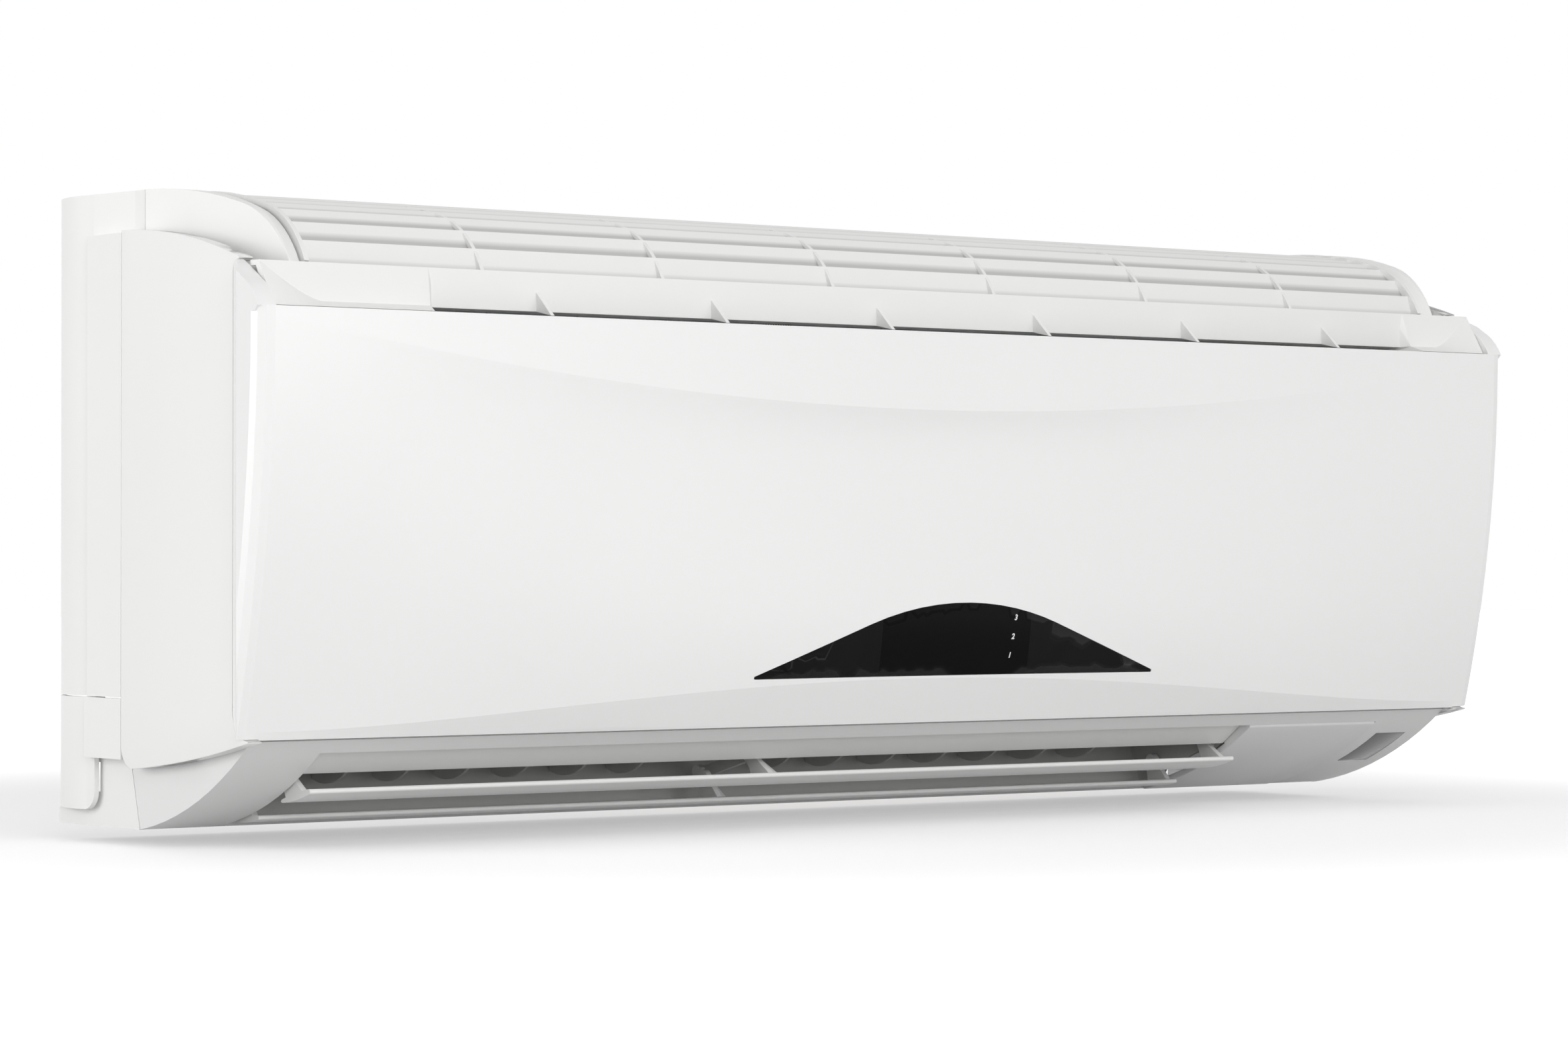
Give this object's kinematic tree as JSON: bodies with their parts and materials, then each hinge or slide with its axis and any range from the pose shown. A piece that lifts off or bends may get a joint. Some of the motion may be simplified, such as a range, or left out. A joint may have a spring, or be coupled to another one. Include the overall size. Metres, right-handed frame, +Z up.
{
  "type": "wall-mounted fan coil unit",
  "caption": "Wall-mounted fan coil unit: hinged front panel, top inlet grille, coil, cross-flow fan, swinging air vanes and turning deflector blades in a curved outlet, on a hook-on wall plate.",
  "frame": {"origin": "on the wall plane, at the centre of the mounting plate's screw pattern, at mid-width and mid-height of the unit", "axes": "+X to the right as seen from the room, +Y into the wall, +Z up; the front panel faces -Y"},
  "size_m": [0.8, 0.2085, 0.3],
  "materials": {
    "panel_white": "smooth glossy moulding",
    "case_white": "satin moulding",
    "lower_white": "satin moulding",
    "grille_grey": "satin moulding",
    "frame_white": "satin moulding",
    "vane_white": "satin moulding",
    "dark_plastic": "matt moulding",
    "silver_plastic": "silver satin",
    "window_black": "polished tinted lens",
    "receiver_grey": "polished tinted lens",
    "fin_aluminium": "thin plain fins",
    "zinc_steel": "galvanised",
    "copper": "drawn copper",
    "brass": "turned brass",
    "shaft_steel": "ground",
    "mount_rubber": "matt",
    "board_green": "solder mask",
    "filter_net": "fine net"
  },
  "bodies": {
    "case": {"air_filter_left": "filter_net", "air_filter_right": "filter_net", "bearing_mount": "mount_rubber", "coil_bends": "copper", "coil_end_plates": "zinc_steel", "control_board": "board_green", "control_box": "frame_white", "control_box_cover": "zinc_steel", "control_cover": "silver_plastic", "display_board": "board_green", "drain_pan": "frame_white", "fan_bearing": "shaft_steel", "fan_housing": "dark_plastic", "fan_motor": "zinc_steel", "front_casing": "frame_white", "front_fin_pack": "fin_aluminium", "lower_casing": "lower_white", "motor_clamp": "zinc_steel", "motor_saddle": "zinc_steel", "mounting_plate": "zinc_steel", "pipe_knockout_left": "case_white", "pipe_knockout_right": "case_white", "pipe_unions": "brass", "rear_chassis": "case_white", "rear_fin_pack": "fin_aluminium", "receiver_window": "receiver_grey", "return_pipe": "copper", "side_cover_left": "case_white", "side_cover_right": "case_white", "supply_pipe": "copper", "terminal_block": "dark_plastic", "top_grille": "grille_grey", "upper_casing": "case_white", "vane_motor": "dark_plastic"},
    "panel": {"front_panel": "panel_white", "display_window": "window_black"},
    "upper_vane": {"upper_vane": "vane_white"},
    "lower_vane": {"lower_vane": "vane_white"},
    "vane_link": {"vane_link": "dark_plastic"},
    "fan": {"cross_flow_fan": "dark_plastic", "fan_hub": "dark_plastic", "fan_stub_shaft": "shaft_steel", "motor_shaft": "shaft_steel"},
    "run_button": {"run_button": "dark_plastic"},
    "tie_bar_left": {"tie_bar_left": "dark_plastic"},
    "tie_bar_right": {"tie_bar_right": "dark_plastic"},
    "deflector_left_1": {"deflector_left_1": "dark_plastic"},
    "deflector_left_2": {"deflector_left_2": "dark_plastic"},
    "deflector_left_3": {"deflector_left_3": "dark_plastic"},
    "deflector_left_4": {"deflector_left_4": "dark_plastic"},
    "deflector_left_5": {"deflector_left_5": "dark_plastic"},
    "deflector_left_6": {"deflector_left_6": "dark_plastic"},
    "deflector_right_1": {"deflector_right_1": "dark_plastic"},
    "deflector_right_2": {"deflector_right_2": "dark_plastic"},
    "deflector_right_3": {"deflector_right_3": "dark_plastic"},
    "deflector_right_4": {"deflector_right_4": "dark_plastic"},
    "deflector_right_5": {"deflector_right_5": "dark_plastic"},
    "deflector_right_6": {"deflector_right_6": "dark_plastic"},
    "deflector_right_7": {"deflector_right_7": "dark_plastic"}
  },
  "joints": [
    {"name": "panel_hinge", "type": "hinge", "parent": "case", "child": "panel", "pos_m": [0, -0.178, 0.107], "axis": [-1, 0, 0], "range_deg": [0, 60]},
    {"name": "upper_vane_tilt", "type": "hinge", "parent": "case", "child": "upper_vane", "pos_m": [0, -0.135, -0.123], "axis": [1, 0, 0], "range_deg": [-10, 30]},
    {"name": "lower_vane_tilt", "type": "hinge", "parent": "case", "child": "lower_vane", "pos_m": [0, -0.094, -0.134], "axis": [1, 0, 0], "range_deg": [-10, 30]},
    {"name": "link_pivot", "type": "hinge", "parent": "upper_vane", "child": "vane_link", "pos_m": [-0.06, -0.126, -0.121], "axis": [-1, 0, 0], "range_deg": [-10, 30]},
    {"name": "fan_spin", "type": "hinge", "parent": "case", "child": "fan", "pos_m": [0, -0.088, -0.032], "axis": [1, 0, 0], "continuous": true},
    {"name": "run_button_press", "type": "slide", "parent": "case", "child": "run_button", "axis": [0, 1, 0], "range_m": [0, 0.002], "stiffness_N_per_m": 300, "springref_m": -0.0005},
    {"name": "deflector_left_1_turn", "type": "hinge", "parent": "case", "child": "deflector_left_1", "pos_m": [-0.288, -0.0647, -0.10689], "axis": [0, -0.9313, 0.3644], "range_deg": [-25, 25]},
    {"name": "deflector_left_2_turn", "type": "hinge", "parent": "case", "child": "deflector_left_2", "pos_m": [-0.253, -0.0647, -0.10689], "axis": [0, -0.9313, 0.3644], "range_deg": [-25, 25]},
    {"name": "deflector_left_3_turn", "type": "hinge", "parent": "case", "child": "deflector_left_3", "pos_m": [-0.218, -0.0647, -0.10689], "axis": [0, -0.9313, 0.3644], "range_deg": [-25, 25]},
    {"name": "deflector_left_4_turn", "type": "hinge", "parent": "case", "child": "deflector_left_4", "pos_m": [-0.183, -0.0647, -0.10689], "axis": [0, -0.9313, 0.3644], "range_deg": [-25, 25]},
    {"name": "deflector_left_5_turn", "type": "hinge", "parent": "case", "child": "deflector_left_5", "pos_m": [-0.148, -0.0647, -0.10689], "axis": [0, -0.9313, 0.3644], "range_deg": [-25, 25]},
    {"name": "deflector_left_6_turn", "type": "hinge", "parent": "case", "child": "deflector_left_6", "pos_m": [-0.113, -0.0647, -0.10689], "axis": [0, -0.9313, 0.3644], "range_deg": [-25, 25]},
    {"name": "tie_bar_left_slide", "type": "slide", "parent": "case", "child": "tie_bar_left", "axis": [-1, 0, 0], "range_m": [-0.0042, 0.0042]},
    {"name": "deflector_right_1_turn", "type": "hinge", "parent": "case", "child": "deflector_right_1", "pos_m": [-0.02, -0.0647, -0.10689], "axis": [0, -0.9313, 0.3644], "range_deg": [-25, 25]},
    {"name": "deflector_right_2_turn", "type": "hinge", "parent": "case", "child": "deflector_right_2", "pos_m": [0.015, -0.0647, -0.10689], "axis": [0, -0.9313, 0.3644], "range_deg": [-25, 25]},
    {"name": "deflector_right_3_turn", "type": "hinge", "parent": "case", "child": "deflector_right_3", "pos_m": [0.05, -0.0647, -0.10689], "axis": [0, -0.9313, 0.3644], "range_deg": [-25, 25]},
    {"name": "deflector_right_4_turn", "type": "hinge", "parent": "case", "child": "deflector_right_4", "pos_m": [0.085, -0.0647, -0.10689], "axis": [0, -0.9313, 0.3644], "range_deg": [-25, 25]},
    {"name": "deflector_right_5_turn", "type": "hinge", "parent": "case", "child": "deflector_right_5", "pos_m": [0.12, -0.0647, -0.10689], "axis": [0, -0.9313, 0.3644], "range_deg": [-25, 25]},
    {"name": "deflector_right_6_turn", "type": "hinge", "parent": "case", "child": "deflector_right_6", "pos_m": [0.155, -0.0647, -0.10689], "axis": [0, -0.9313, 0.3644], "range_deg": [-25, 25]},
    {"name": "deflector_right_7_turn", "type": "hinge", "parent": "case", "child": "deflector_right_7", "pos_m": [0.19, -0.0647, -0.10689], "axis": [0, -0.9313, 0.3644], "range_deg": [-25, 25]},
    {"name": "tie_bar_right_slide", "type": "slide", "parent": "case", "child": "tie_bar_right", "axis": [-1, 0, 0], "range_m": [-0.0042, 0.0042]}
  ],
  "couplings": [
    {"joint": "lower_vane_tilt", "follows": "upper_vane_tilt", "ratio": 1},
    {"joint": "link_pivot", "follows": "upper_vane_tilt", "ratio": 1},
    {"joint": "deflector_left_2_turn", "follows": "deflector_left_1_turn", "ratio": 1},
    {"joint": "deflector_left_3_turn", "follows": "deflector_left_1_turn", "ratio": 1},
    {"joint": "deflector_left_4_turn", "follows": "deflector_left_1_turn", "ratio": 1},
    {"joint": "deflector_left_5_turn", "follows": "deflector_left_1_turn", "ratio": 1},
    {"joint": "deflector_left_6_turn", "follows": "deflector_left_1_turn", "ratio": 1},
    {"joint": "tie_bar_left_slide", "follows": "deflector_left_1_turn", "m_per_rad": 0.0095},
    {"joint": "deflector_right_2_turn", "follows": "deflector_right_1_turn", "ratio": 1},
    {"joint": "deflector_right_3_turn", "follows": "deflector_right_1_turn", "ratio": 1},
    {"joint": "deflector_right_4_turn", "follows": "deflector_right_1_turn", "ratio": 1},
    {"joint": "deflector_right_5_turn", "follows": "deflector_right_1_turn", "ratio": 1},
    {"joint": "deflector_right_6_turn", "follows": "deflector_right_1_turn", "ratio": 1},
    {"joint": "deflector_right_7_turn", "follows": "deflector_right_1_turn", "ratio": 1},
    {"joint": "tie_bar_right_slide", "follows": "deflector_right_1_turn", "m_per_rad": 0.0095}
  ]
}
